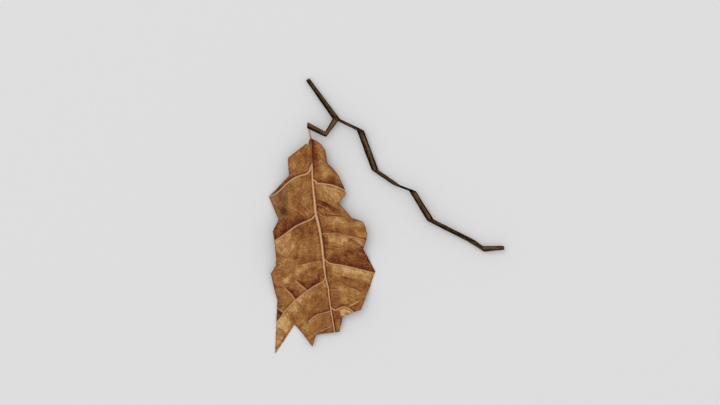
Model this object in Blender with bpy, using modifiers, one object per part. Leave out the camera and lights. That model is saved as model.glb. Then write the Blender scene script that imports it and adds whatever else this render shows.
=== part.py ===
"""A dry oak leaf on a short broken piece of its twig, lying on a table with the leaf's underside up.

The leaf is one solid: a thin curled blade, with the midrib and the leaf stalk that grew with it.
The twig is the other: a zigzag stem with a short spur, whose end the leaf stalk grows from.
The blade's base is the centre of all the outlines below. At the end both solids are moved together,
so that the origin is in the middle of the whole thing, on the surface it lies on.
"""

import math

import bmesh
import bpy
from mathutils import Vector

MM = 0.001

# The blade, in millimetres from its base, with the tip towards -Y
BLADE_LENGTH = 128.0
BLADE_THICKNESS = 0.45
BLADE_CELL = 3.0
BLADE_REACH = (-36.0, 48.0, -150.0, 6.0)
ARC_STEPS = 4

# The margin, clockwise from the right of the stalk: each corner, then the bow of the edge that follows it
# (a positive bow swells outwards). Lobe tips and the bays between them are the corners.
MARGIN = (
    ((1.2, -0.3), 2.9),
    ((10.2, -16.2), 0.2),
    ((18.5, -25.3), 0.4),
    ((23.0, -36.3), -0.3),
    ((18.3, -42.8), 0.3),
    ((26.4, -52.4), 0.2),
    ((34.4, -55.4), 0.4),
    ((36.8, -63.8), 0.3),
    ((34.4, -72.9), 0.3),
    ((41.9, -88.2), 0.6),
    ((32.5, -113.5), -0.3),
    ((20.9, -117.2), -0.2),
    ((18.3, -127.8), 0.2),
    ((3.8, -129.0), -0.2),
    ((1.1, -137.3), -0.4),
    ((-11.2, -122.6), 0.3),
    ((-23.6, -141.6), 0.3),
    ((-23.2, -121.1), -0.2),
    ((-22.6, -107.1), 0.3),
    ((-26.7, -89.4), -0.2),
    ((-23.4, -83.9), -0.5),
    ((-25.2, -61.3), -0.2),
    ((-22.0, -53.7), 0.3),
    ((-27.9, -38.5), 0.5),
    ((-15.0, -24.7), 0.4),
    ((-14.9, -12.1), 0.5),
    ((-3.5, -4.0), 0.1),
    ((-2.0, -4.6), -0.2),
    ((-0.9, 0.2), 0.0),
)

# The curl: the midrib arches over the table, and both halves of the blade fall away from it
BASE_HEIGHT = 5.0
ARCH_HEIGHT = 8.0
TIP_FALL = 3.0
SIDE_FALL = 8.5
SIDE_REACH = 26.0
SIDE_FALL_LOST = 0.6
FLOOR_SOFTNESS = 0.5
# Places where the dry blade has lifted or sunk: centre, radius, height
LIFTS = (
    ((-30.0, -39.0), 15.0, -5.5),
    ((43.0, -88.0), 14.0, -5.5),
    ((-24.0, -143.0), 14.0, -1.5),
    ((-27.0, -72.0), 15.0, 2.0),
    ((34.0, -114.0), 15.0, 3.0),
    ((1.0, -138.0), 12.0, 2.5),
    ((37.0, -62.0), 13.0, 1.5),
    ((24.0, -36.0), 12.0, -3.0),
    ((-14.0, -14.0), 10.0, 1.0),
)

# The midrib's line across the blade, and the stalk that it becomes above the base
MIDRIB = (
    (0.1, -1.0), (0.8, -19.8), (2.0, -33.3), (3.2, -47.9), (6.3, -67.4),
    (7.9, -80.9), (9.2, -93.1), (11.2, -102.8), (13.0, -116.2), (14.6, -125.0),
)
MIDRIB_RADII = (0.85, 0.35)
STALK = ((-1.2, 5.28, 5.6), (-1.0, 3.6, 5.4), (-0.5, 1.4, 5.2))
STALK_RADII = (0.6, 0.85)
# The side veins, each from the midrib towards a lobe of the margin
SIDE_VEINS = (
    ((0.4, -18.5), (-2.2, -22.6), (-10.4, -26.5), (-17.5, -31.8), (-25.2, -37.9)),
    ((2.6, -51.0), (-2.8, -54.7), (-13.4, -60.4), (-22.4, -66.5)),
    ((8.6, -93.0), (4.3, -96.4), (-5.5, -103.7), (-15.4, -112.6), (-21.4, -119.8)),
    ((12.4, -114.2), (5.8, -115.9), (-1.8, -121.0)),
    ((2.2, -27.8), (4.2, -29.8), (12.4, -30.8), (18.6, -32.8), (22.0, -35.6)),
    ((5.2, -49.5), (8.0, -51.8), (16.4, -51.9)),
    ((6.9, -63.3), (15.4, -62.7), (27.5, -65.0), (34.0, -67.0)),
    ((8.1, -79.0), (12.1, -82.5), (22.7, -84.4), (31.5, -86.5), (39.6, -88.7)),
    ((12.2, -100.2), (21.3, -99.8), (27.1, -99.4), (32.0, -101.8)),
    ((13.0, -111.8), (16.8, -113.1), (21.5, -111.3), (27.0, -114.0)),
)
SIDE_VEIN_RADII = (0.5, 0.25)
VEIN_RISE = 0.2

# The twig: the knees of its zigzag, each with the height of its middle over the table,
# and the widths of the growth just after each knee and just before the next
STEM_KNEES = (
    (-2.4, 38.8, 1.2), (16.3, 12.3, 3.6), (32.5, 4.9, 3.4), (42.0, -21.4, 1.95),
    (56.2, -31.0, 3.6), (66.8, -35.0, 4.4), (78.3, -54.1, 3.9), (105.6, -68.1, 2.1),
    (113.6, -73.2, 1.75), (127.1, -72.4, 3.4),
)
STEM_WIDTHS = (
    (2.6, 3.8), (2.0, 2.0), (4.4, 4.3), (2.55, 2.55), (1.7, 1.7),
    (3.8, 4.0), (2.9, 2.9), (3.1, 2.85), (3.7, 2.7),
)
SPUR_KNEES = ((16.3, 12.3, 3.6), (9.6, 2.4, 4.6), (-2.9, 8.4, 6.4))
SPUR_WIDTHS = ((3.8, 2.9), (3.3, 3.5))
KNEE_SWELL = 1.1
KNEE_ROUND = 1.5
END_TAPER = 0.86
TWIG_SIDES_RESOLUTION = 3

LEAF_COLOUR = (0.27, 0.12, 0.04, 1.0)
BARK_COLOUR = (0.06, 0.04, 0.02, 1.0)


def clear_scene():
    """Removes whatever the startup file holds."""
    for obj in list(bpy.data.objects):
        bpy.data.objects.remove(obj, do_unlink=True)


def new_collection(name):
    """Returns a new collection in the scene."""
    collection = bpy.data.collections.new(name)
    bpy.context.scene.collection.children.link(collection)
    return collection


def material(name, colour, roughness):
    """Returns a Principled material of one colour."""
    made = bpy.data.materials.new(name)
    made.use_nodes = True
    shader = made.node_tree.nodes["Principled BSDF"]
    shader.inputs["Base Color"].default_value = colour
    shader.inputs["Roughness"].default_value = roughness
    shader.inputs["Metallic"].default_value = 0.0
    return made


def link(obj, collection, finish=None):
    """Puts the object in a collection, with a material if one is given."""
    collection.objects.link(obj)
    if finish:
        obj.data.materials.append(finish)
    return obj


def midrib_x(y):
    """Returns where the midrib crosses the height y, in millimetres."""
    if y >= MIDRIB[0][1]:
        return MIDRIB[0][0]
    for (x0, y0), (x1, y1) in zip(MIDRIB, MIDRIB[1:]):
        if y >= y1:
            return x0 + (x1 - x0) * (y0 - y) / (y0 - y1)
    return x1 + (x1 - x0) * (y1 - y) / (y0 - y1)


def blade_height(x, y):
    """Returns the height of the middle of the blade over the table at x, y, in millimetres."""
    along = min(max(-y / BLADE_LENGTH, 0.0), 1.0)
    arch = BASE_HEIGHT + ARCH_HEIGHT * math.sin(math.pi * along**0.9) - TIP_FALL * along
    aside = (x - midrib_x(y)) / SIDE_REACH
    fall = SIDE_FALL * (1 - SIDE_FALL_LOST * along**2)
    height = arch - fall * (1 - math.exp(-(aside**2)))
    for centre, radius, lift in LIFTS:
        reach = (x - centre[0]) ** 2 + (y - centre[1]) ** 2
        height += lift * math.exp(-reach / radius**2)
    return 0.5 * (height + math.hypot(height, 2 * FLOOR_SOFTNESS))


def bowed(start, end, bow):
    """Returns the points of a circular arc from start to end that swells by bow to the left of that way."""
    along = Vector(end) - Vector(start)
    outward = Vector((-along.y, along.x)).normalized()
    points = []
    for step in range(ARC_STEPS):
        share = step / ARC_STEPS
        points.append(Vector(start) + along * share + outward * (4 * bow * share * (1 - share)))
    return points


def margin_points():
    """Returns the margin's points in order, with each bowed edge as an arc."""
    points = []
    for (start, bow), (end, _) in zip(MARGIN, MARGIN[1:] + MARGIN[:1]):
        points += bowed(start, end, bow)
    return points


def mesh_from_curve(curve_object, collection):
    """Returns a mesh object in place of a curve, with its caps welded on."""
    graph = bpy.context.evaluated_depsgraph_get()
    mesh = bpy.data.meshes.new_from_object(curve_object.evaluated_get(graph))
    name = curve_object.name
    place = curve_object.matrix_world.copy()
    bpy.data.objects.remove(curve_object, do_unlink=True)
    made = bpy.data.objects.new(name, mesh)
    made.matrix_world = place
    welding = bmesh.new()
    welding.from_mesh(mesh)
    bmesh.ops.remove_doubles(welding, verts=welding.verts, dist=0.001 * MM)
    bmesh.ops.recalc_face_normals(welding, faces=welding.faces)
    welding.to_mesh(mesh)
    welding.free()
    collection.objects.link(made)
    return made


def tube(name, points, radii, collection, resolution=2):
    """Returns a closed tube through the points, all in millimetres, with a radius at each."""
    curve = bpy.data.curves.new(name, "CURVE")
    curve.dimensions = "3D"
    curve.bevel_depth = MM
    curve.bevel_resolution = resolution
    curve.use_fill_caps = True
    spline = curve.splines.new("POLY")
    spline.points.add(len(points) - 1)
    for point, place, radius in zip(spline.points, points, radii):
        point.co = (*(Vector(place) * MM), 1.0)
        point.radius = radius
    obj = link(bpy.data.objects.new(name, curve), collection)
    bpy.context.view_layer.update()
    return mesh_from_curve(obj, collection)


def margin_cutter(cutters):
    """Returns a tall prism on the blade's margin."""
    curve = bpy.data.curves.new("margin", "CURVE")
    curve.dimensions = "2D"
    curve.fill_mode = "BOTH"
    curve.extrude = 30 * MM
    spline = curve.splines.new("POLY")
    points = margin_points()
    spline.points.add(len(points) - 1)
    for point, place in zip(spline.points, points):
        point.co = (place.x * MM, place.y * MM, 0.0, 1.0)
    spline.use_cyclic_u = True
    obj = link(bpy.data.objects.new("margin", curve), cutters)
    bpy.context.view_layer.update()
    cutter = mesh_from_curve(obj, cutters)
    hide_helper(cutter)
    return cutter


def hide_helper(obj):
    """Keeps a cutter or a joined piece out of the finished object."""
    obj.hide_render = True
    obj.display_type = "WIRE"


def boolean(obj, operation, other):
    """Adds an exact Boolean to the object."""
    modifier = obj.modifiers.new(operation.lower(), "BOOLEAN")
    modifier.operation = operation
    modifier.solver = "EXACT"
    modifier.object = other
    return modifier


def curled_sheet(name, collection, finish):
    """Returns the uncut blade: a grid that follows the curl, made solid."""
    left, right, low, high = BLADE_REACH
    mesh = bpy.data.meshes.new(name)
    sheet = bmesh.new()
    bmesh.ops.create_grid(
        sheet,
        x_segments=round((right - left) / BLADE_CELL),
        y_segments=round((high - low) / BLADE_CELL),
        size=0.5,
    )
    for vertex in sheet.verts:
        x = left + (right - left) * (vertex.co.x + 0.5)
        y = low + (high - low) * (vertex.co.y + 0.5)
        vertex.co = Vector((x, y, blade_height(x, y))) * MM
    sheet.to_mesh(mesh)
    sheet.free()
    obj = link(bpy.data.objects.new(name, mesh), collection, finish)
    solid = obj.modifiers.new("thickness", "SOLIDIFY")
    solid.thickness = BLADE_THICKNESS * MM
    solid.offset = 0.0
    return obj


def tapering(count, ends):
    """Returns count radii that run evenly from one end's to the other's."""
    return [ends[0] + (ends[1] - ends[0]) * step / (count - 1) for step in range(count)]


def on_blade(line):
    """Returns the points of a vein's line, a little over the middle of the blade."""
    return [(x, y, blade_height(x, y) + VEIN_RISE) for x, y in line]


def stalk_and_midrib(cutters):
    """Returns the leaf stalk and the midrib as one tapering tube, half sunk in the blade."""
    radii = tapering(len(STALK), STALK_RADII) + tapering(len(MIDRIB), MIDRIB_RADII)
    rib = tube("midrib", list(STALK) + on_blade(MIDRIB), radii, cutters)
    hide_helper(rib)
    return rib


def side_vein(line, cutters):
    """Returns one side vein as a thin tapering tube, half sunk in the blade."""
    vein = tube("side_vein", on_blade(line), tapering(len(line), SIDE_VEIN_RADII), cutters, 1)
    hide_helper(vein)
    return vein


def leaf(collection, cutters):
    """Returns the leaf: the curled sheet cut to its margin, with its veins and stalk joined on."""
    finish = material("dry_oak_leaf", LEAF_COLOUR, 0.75)
    obj = curled_sheet("leaf", collection, finish)
    boolean(obj, "INTERSECT", margin_cutter(cutters))
    for line in SIDE_VEINS:
        boolean(obj, "UNION", side_vein(line, cutters))
    boolean(obj, "UNION", stalk_and_midrib(cutters))
    return obj


def growth_line(knees, widths):
    """Returns the points and radii of a zigzag growth, each knee rounded a little and swollen."""
    knees = [Vector(knee) for knee in knees]
    points = [knees[0]]
    radii = [widths[0][0] / 2 * END_TAPER]
    for index in range(1, len(knees) - 1):
        before, knee, after = knees[index - 1 : index + 2]
        start = knee + (before - knee).normalized() * KNEE_ROUND
        end = knee + (after - knee).normalized() * KNEE_ROUND
        middle = (start + end + 2 * knee) / 4
        width_before, width_after = widths[index - 1][1], widths[index][0]
        points += [start, middle, end]
        radii += [width_before / 2, KNEE_SWELL * (width_before + width_after) / 4, width_after / 2]
    points.append(knees[-1])
    radii.append(widths[-1][1] / 2 * END_TAPER)
    return points, radii


def twig(collection, cutters):
    """Returns the twig: the stem with the spur joined on at its first knee."""
    obj = tube("twig", *growth_line(STEM_KNEES, STEM_WIDTHS), collection, TWIG_SIDES_RESOLUTION)
    obj.data.materials.append(material("oak_bark", BARK_COLOUR, 0.85))
    spur = tube("spur", *growth_line(SPUR_KNEES, SPUR_WIDTHS), cutters, TWIG_SIDES_RESOLUTION)
    hide_helper(spur)
    boolean(obj, "UNION", spur)
    return obj


def centre_on_origin(pieces):
    """Moves every object so that the pieces stand on the origin with their box's middle over it."""
    bpy.context.view_layer.update()
    graph = bpy.context.evaluated_depsgraph_get()
    corners = []
    for piece in pieces:
        shown = piece.evaluated_get(graph)
        corners += [shown.matrix_world @ vertex.co for vertex in shown.data.vertices]
    lowest = Vector(min(corner[axis] for corner in corners) for axis in range(3))
    highest = Vector(max(corner[axis] for corner in corners) for axis in range(3))
    middle = (lowest + highest) / 2
    shift = Vector((middle.x, middle.y, lowest.z))
    for obj in bpy.data.objects:
        obj.location -= shift


def main():
    """Builds the leaf and the twig."""
    clear_scene()
    part = new_collection("oak_leaf")
    cutters = new_collection("cutters")
    pieces = [leaf(part, cutters), twig(part, cutters)]
    centre_on_origin(pieces)


main()
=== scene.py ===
"""Looks of a dry oak leaf on a short broken piece of its twig.

The leaf lies with its underside up, so its veins stand out of the blade as ridges. All the lines below are
in millimetres from the blade's base, with the leaf's tip towards -Y, as a maker would draw them on a board;
BASE puts them where the part has them.
"""

import logging
import math
from collections.abc import Callable, Iterator
from contextlib import contextmanager
from dataclasses import dataclass
from enum import Enum
from functools import partial
from typing import Any

import bpy
import numpy as np
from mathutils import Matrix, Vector, noise


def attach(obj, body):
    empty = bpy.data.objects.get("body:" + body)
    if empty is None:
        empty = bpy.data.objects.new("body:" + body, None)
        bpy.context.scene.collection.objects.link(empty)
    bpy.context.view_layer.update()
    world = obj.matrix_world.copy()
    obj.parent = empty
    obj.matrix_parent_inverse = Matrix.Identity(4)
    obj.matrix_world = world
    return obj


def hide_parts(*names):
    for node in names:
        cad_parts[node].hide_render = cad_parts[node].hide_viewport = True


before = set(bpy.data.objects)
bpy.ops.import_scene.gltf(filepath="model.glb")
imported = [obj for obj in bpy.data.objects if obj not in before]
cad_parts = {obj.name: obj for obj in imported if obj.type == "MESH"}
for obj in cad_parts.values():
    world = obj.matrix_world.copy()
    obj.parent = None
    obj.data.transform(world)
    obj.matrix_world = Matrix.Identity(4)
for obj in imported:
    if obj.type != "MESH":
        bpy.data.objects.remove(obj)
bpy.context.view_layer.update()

LOG = logging.getLogger("oak_leaf")
MM = 0.001
# Keeps what may be nothing from being divided by
TINY = 1e-9
BODY = "root"
# Where the blade's base lies in the part's frame, in millimetres
BASE = Vector((-49.678, 51.078, 0.130))

Point = tuple[float, float]
Place = tuple[float, float, float]
Line = tuple[Point, ...]
Row = tuple[float, ...]
AddNode = Callable[..., bpy.types.Node]
Inputs = dict[Any, Any]

# Settings that many nodes share
ADD = {"operation": "ADD"}
MULTIPLY = {"operation": "MULTIPLY"}
MULTIPLY_ADD = {"operation": "MULTIPLY_ADD"}
MIX_COLOURS = {"data_type": "RGBA"}


# Small tools


def linear(code: str) -> tuple[float, float, float, float]:
    """Turns an sRGB colour into linear light.

    Args:
        code: The colour as six hex digits after a #.

    Returns:
        Red, green, blue and an alpha of one.
    """
    channels = [int(code[i : i + 2], 16) / 255 for i in (1, 3, 5)]
    lit = [c / 12.92 if c <= 0.04045 else ((c + 0.055) / 1.055) ** 2.4 for c in channels]
    return (lit[0], lit[1], lit[2], 1.0)


def feed(socket: bpy.types.NodeSocket, source: Any) -> None:
    """Gives a node's input its value or its link.

    Args:
        socket: The input.
        source: A value, an output, or a node, which stands for its first output.
    """
    if isinstance(source, bpy.types.Node):
        source = source.outputs[0]
    if isinstance(source, bpy.types.NodeSocket):
        socket.id_data.links.new(source, socket)
    else:
        socket.default_value = source


def add_node(
    tree: bpy.types.NodeTree, kind: str, settings: dict[str, Any] | None = None, inputs: Inputs | None = None
) -> bpy.types.Node:
    """Adds a shader node with its settings and its links.

    Args:
        tree: The material's node tree.
        kind: The node's type, without its ShaderNode prefix.
        settings: The node's own properties by name. A colour ramp's is a colour, or a grey level, for each position.
        inputs: What feeds each input, by name or number.

    Returns:
        The new node.
    """
    node = tree.nodes.new("ShaderNode" + kind)
    for name, setting in (settings or {}).items():
        if name == "color_ramp":
            elements = node.color_ramp.elements
            while len(elements) < len(setting):
                elements.new(0.5)
            for element, (position, colour) in zip(elements, sorted(setting.items())):
                element.position = position
                element.color = colour if isinstance(colour, tuple) else (colour, colour, colour, 1.0)
        else:
            setattr(node, name, setting)
    for name, source in (inputs or {}).items():
        feed(node.inputs[name], source)
    return node


def select_only(obj: bpy.types.Object) -> None:
    """Selects one object and makes it active.

    Args:
        obj: The object.
    """
    bpy.ops.object.select_all(action="DESELECT")
    obj.select_set(True)
    bpy.context.view_layer.objects.active = obj


@contextmanager
def edit_mode(everything: bool = True) -> Iterator[None]:
    """Goes into edit mode and back.

    Args:
        everything: Whether all of the mesh is selected first, in place of what was picked.

    Yields:
        Nothing; the mesh is edited meanwhile.
    """
    bpy.ops.object.mode_set(mode="EDIT")
    if everything:
        bpy.ops.mesh.select_all(action="SELECT")
    yield
    bpy.ops.object.mode_set(mode="OBJECT")


def apply_modifiers(obj: bpy.types.Object) -> None:
    """Applies all of an object's modifiers in order.

    Args:
        obj: The object.
    """
    select_only(obj)
    for modifier in list(obj.modifiers):
        bpy.ops.object.modifier_apply(modifier=modifier.name)


def vertices(obj: bpy.types.Object) -> np.ndarray:
    """Reads the places of an object's vertices.

    Args:
        obj: The mesh object.

    Returns:
        One row of three for each vertex, in metres.
    """
    flat = np.empty(len(obj.data.vertices) * 3, np.float32)
    obj.data.vertices.foreach_get("co", flat)
    return flat.reshape(-1, 3).astype(float)


def move_vertices(obj: bpy.types.Object, places: np.ndarray) -> None:
    """Moves all of an object's vertices to new places, in metres."""
    obj.data.vertices.foreach_set("co", places.astype(np.float32).ravel())
    obj.data.update()


def store(obj: bpy.types.Object, name: str, values: np.ndarray) -> None:
    """Stores one number, or one vector, for each vertex.

    Args:
        obj: The mesh object.
        name: The attribute's name, as its material reads it.
        values: One value or one row of three for each vertex.
    """
    kind = "FLOAT" if values.ndim == 1 else "FLOAT_VECTOR"
    attribute = obj.data.attributes.new(name, kind, "POINT")
    attribute.data.foreach_set("value" if values.ndim == 1 else "vector", values.astype(np.float32).ravel())


def rough(places: np.ndarray, size: float, seed: float) -> np.ndarray:
    """Returns smooth noise between -1 and 1 over places.

    Args:
        places: The places, in millimetres, with or without a height.
        size: The size of the noise's bumps, in millimetres.
        seed: Picks one noise among many.

    Returns:
        One number for each place.
    """
    offset = Vector((seed * 17.3, seed * 5.1, seed * 9.7))
    return np.array([noise.noise(Vector(place).to_3d() / size + offset) for place in places])


def bell(away: np.ndarray, width: float | np.ndarray, power: float = 2) -> np.ndarray:
    """Returns 1 where away is 0, falling off smoothly over a width; a higher power makes its edge sharper."""
    return np.exp(-((away / width) ** power))


def dot(a: np.ndarray, b: np.ndarray) -> np.ndarray:
    """Returns the dot product of each row with the other's."""
    return np.einsum("ij,ij->i", a, b)


def smooth_line(points: np.ndarray, spacing: float = 0.6) -> np.ndarray:
    """Runs a smooth curve through points.

    Args:
        points: The points, one row each.
        spacing: How far apart the curve's points are.

    Returns:
        The curve's points, one row each, the first and last of them the same as before.
    """
    ends = np.vstack([2 * points[0] - points[1], points, 2 * points[-1] - points[-2]])
    curve = []
    for a, b, c, d in zip(ends, ends[1:], ends[2:], ends[3:]):
        count = max(int(np.linalg.norm(c - b) / spacing), 1)
        square, cube = 2 * a - 5 * b + 4 * c - d, 3 * b - a - 3 * c + d
        curve += [0.5 * (2 * b + (c - a) * t + square * t**2 + cube * t**3) for t in np.arange(count) / count]
    return np.array(curve + [points[-1]])


def reach(line: np.ndarray, places: np.ndarray) -> tuple[np.ndarray, np.ndarray, np.ndarray]:
    """Measures how places lie to a line.

    Args:
        line: The line's points, one row each.
        places: The places, one row each, with as many numbers.

    Returns:
        For each place its distance, its share of the way along the line, and the line's way there.
    """
    steps = np.diff(line, axis=0)
    lengths = np.linalg.norm(steps, axis=1)
    total = lengths.sum()
    before = np.concatenate([[0.0], np.cumsum(lengths)])[:-1]
    best = np.full(len(places), np.inf)
    share = np.zeros(len(places))
    way = np.zeros_like(places)
    for start, step, length, gone in zip(line, steps, lengths, before):
        along = np.clip((places - start) @ step / length**2, 0.0, 1.0)
        distance = np.linalg.norm(places - start - along[:, None] * step, axis=1)
        nearer = distance < best
        best[nearer] = distance[nearer]
        share[nearer] = (gone + along[nearer] * length) / total
        way[nearer] = step / length
    return best, share, way


class Track:
    """How flat places lie to a line.

    Attributes:
        away: How far each place is from the line.
        share: Its share of the way along the line.
        way: The line's way there.
        right: How far it is to the right of the line.
        past: How far it lies beyond either end, along the line's way there.
    """

    def __init__(self, line: np.ndarray, flat: np.ndarray) -> None:
        """Measures the places.

        Args:
            line: The line's points, one row each.
            flat: The places, one row of two each.
        """
        self.away, self.share, self.way = reach(line, flat)
        steps = np.diff(line, axis=0)
        gone = np.concatenate([[0.0], np.cumsum(np.linalg.norm(steps, axis=1))])
        foot = np.stack([np.interp(self.share * gone[-1], gone, line[:, axis]) for axis in (0, 1)], axis=1)
        self.right = dot(flat - foot, np.stack([self.way[:, 1], -self.way[:, 0]], axis=1))
        beyond = (flat - line[-1]) @ steps[-1] / np.linalg.norm(steps[-1])
        before = (line[0] - flat) @ steps[0] / np.linalg.norm(steps[0])
        self.past = np.minimum(np.maximum(np.maximum(beyond, before), 0.0), self.away)


def dress(piece: bpy.types.Object, sharp: float, *finishes: "Finish") -> None:
    """Shades a piece smooth, apart from its sharp edges, and gives it its finishes.

    Args:
        piece: The mesh object.
        sharp: From how many degrees an edge stays sharp.
        finishes: The finishes, in the order of its material slots.
    """
    select_only(piece)
    bpy.ops.object.shade_smooth_by_angle(angle=math.radians(sharp))
    for finish in finishes:
        piece.data.materials.append(finish.make())


# The finishes


class Role(Enum):
    """What a finish is for."""

    LEAF = "leaf"
    TWIG = "twig"


@dataclass(frozen=True)
class Finish:
    """What every finish has: a name, and one shader that its own nodes feed."""

    name: str = "plain"

    def make(self) -> bpy.types.Material:
        """Makes the material.

        Returns:
            The material, with one shader.
        """
        made = bpy.data.materials.new(self.name)
        made.use_nodes = True
        shader = made.node_tree.nodes["Principled BSDF"]
        for name, source in self.surface(partial(add_node, made.node_tree)).items():
            feed(shader.inputs[name], source)
        return made

    def surface(self, add: AddNode) -> Inputs:
        """Adds the finish's nodes and returns what feeds the shader."""
        raise NotImplementedError


@dataclass(frozen=True)
class DryLeaf(Finish):
    """Dry oak leaf tissue, as it fades and browns on the ground: dull, mottled, with a fine net of veins.

    The tannin in it makes the dark patches red and the light ones tan. The wax is gone, so it has no gloss.
    """

    name: str = "dry oak leaf underside"
    tones: tuple[str, ...] = ("#461b02", "#612b10", "#78451e", "#89592b", "#9a6c3a", "#b08450", "#c8a16d")
    olive: str = "#806038"
    vein: str = "#d3a778"
    vein_share: float = 0.9
    clouds: float = 0.75
    grain: float = 0.62
    wrinkles: float = 0.55
    fields: float = 0.22
    net: float = 0.09
    roughness: Point = (0.66, 0.85)

    def surface(self, add: AddNode) -> Inputs:
        """Adds the finish's nodes.

        Args:
            add: Adds a node to the material.

        Returns:
            What feeds each of the shader's inputs.
        """
        place = add("TexCoord").outputs["Object"]
        grown = add("Attribute", {"attribute_name": "leaf_space"}).outputs["Vector"]
        tone, olive, vein = (
            add("Attribute", {"attribute_name": name}).outputs["Fac"] for name in ("tone", "olive", "vein")
        )

        # Clouds of browning about 6 mm across, a grain of 1.2 mm, and wrinkles 1.1 by 4.5 mm along the side veins
        clouds = add("TexNoise", {}, {"Vector": place, "Scale": 165.0, "Detail": 4.0, "Roughness": 0.6})
        grain = add("TexNoise", {}, {"Vector": place, "Scale": 850.0, "Detail": 2.0, "Roughness": 0.6})
        wrinkle_way = add("Mapping", {}, {"Vector": grown, "Scale": (1 / 4.5, 1 / 1.1, 1.0)})
        wrinkles = add("TexNoise", {}, {"Vector": wrinkle_way, "Scale": 1.0, "Detail": 2.0})
        # The blade browns field by field between its smaller veins. A field is about 4 by 6 mm, and its meshes
        # are drawn 1.3 mm wide, twice their real size, so that they still show
        wander = add("TexNoise", {}, {"Vector": grown, "Scale": 0.3, "Detail": 3.0}).outputs["Color"]
        bent = add("VectorMath", MULTIPLY_ADD, {0: wander, 1: (2.6, 2.6, 0.0), 2: grown})
        field_way = add("Mapping", {}, {"Vector": bent, "Scale": (1 / 4.0, 1 / 6.0, 1.0)})
        flat, edges = {"voronoi_dimensions": "2D"}, {"voronoi_dimensions": "2D", "feature": "DISTANCE_TO_EDGE"}
        fields = add("TexVoronoi", flat, {"Vector": field_way, "Scale": 1.0}).outputs["Color"]
        rims = add("TexVoronoi", edges, {"Vector": field_way, "Scale": 1.0})
        meshes = add("TexVoronoi", edges, {"Vector": bent, "Scale": 1 / 1.3})
        rung = add("ValToRGB", {"color_ramp": {0.0: 1.0, 0.04: 0.5, 0.09: 0.0}}, {0: rims.outputs["Distance"]})
        mesh = add("ValToRGB", {"color_ramp": {0.0: 1.0, 0.12: 0.4, 0.28: 0.0}}, {0: meshes.outputs["Distance"]})

        # All of it shifts how far the blade has browned, and the tone read from the mesh also holds painted shade and
        # light beside the veins and folds: each pattern adds its strength about its own middle
        level = tone
        for pattern, strength, middle in (
            (clouds, self.clouds, 0.5), (grain, self.grain, 0.5), (wrinkles, self.wrinkles, 0.5),
            (fields, self.fields, 0.5), (rung, -self.net, 0.0), (mesh, -self.net, 0.0),
        ):
            shift = add("Math", MULTIPLY_ADD, {0: pattern, 1: strength, 2: -strength * middle})
            level = add("Math", ADD, {0: level, 1: shift})
        steps = {i / (len(self.tones) - 1): linear(code) for i, code in enumerate(self.tones)}
        colour = add("ValToRGB", {"color_ramp": steps}, {0: level})
        light = add("ValToRGB", {"color_ramp": {0.0: 0.35, 0.5: 1.0, 1.0: 1.5}}, {0: level})
        shaded = MIX_COLOURS | {"blend_type": "MULTIPLY"}
        greened = add("Mix", shaded, {0: 1.0, 6: linear(self.olive), 7: light}).outputs[2]
        colour = add("Mix", MIX_COLOURS, {0: olive, 6: colour, 7: greened}).outputs[2]
        # Tannin has drifted into some parts more than others, which turns the brown a little to red or to olive,
        # in clouds 9 mm across
        drift = add("TexNoise", {}, {"Vector": place, "Scale": 110.0, "Detail": 4.0})
        drift = add("Math", MULTIPLY_ADD, {0: drift, 1: 0.03, 2: 0.485})
        colour = add("HueSaturation", {}, {"Hue": drift, "Color": colour})
        # The veins' pale skin, worn through in specks, and the painted highlight along the folds' ridges
        pale = add("Math", MULTIPLY_ADD, {0: grain, 1: 0.6, 2: self.vein_share - 0.3})
        pale = add("Math", MULTIPLY, {0: vein, 1: pale})
        colour = add("Mix", MIX_COLOURS, {0: pale, 6: colour, 7: linear(self.vein)}).outputs[2]

        gloss = add("ValToRGB", {"color_ramp": {0.3: self.roughness[0], 0.7: self.roughness[1]}}, {0: clouds})
        relief = add("Math", MULTIPLY_ADD, {0: rung, 1: 0.6, 2: grain})
        relief = add("Math", MULTIPLY_ADD, {0: mesh, 1: 0.35, 2: relief})
        bump = add("Bump", {}, {"Height": relief, "Strength": 0.6, "Distance": 0.3 * MM})
        return {"Base Color": colour, "Roughness": gloss, "IOR": 1.4, "Specular IOR Level": 0.2, "Normal": bump}


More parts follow.
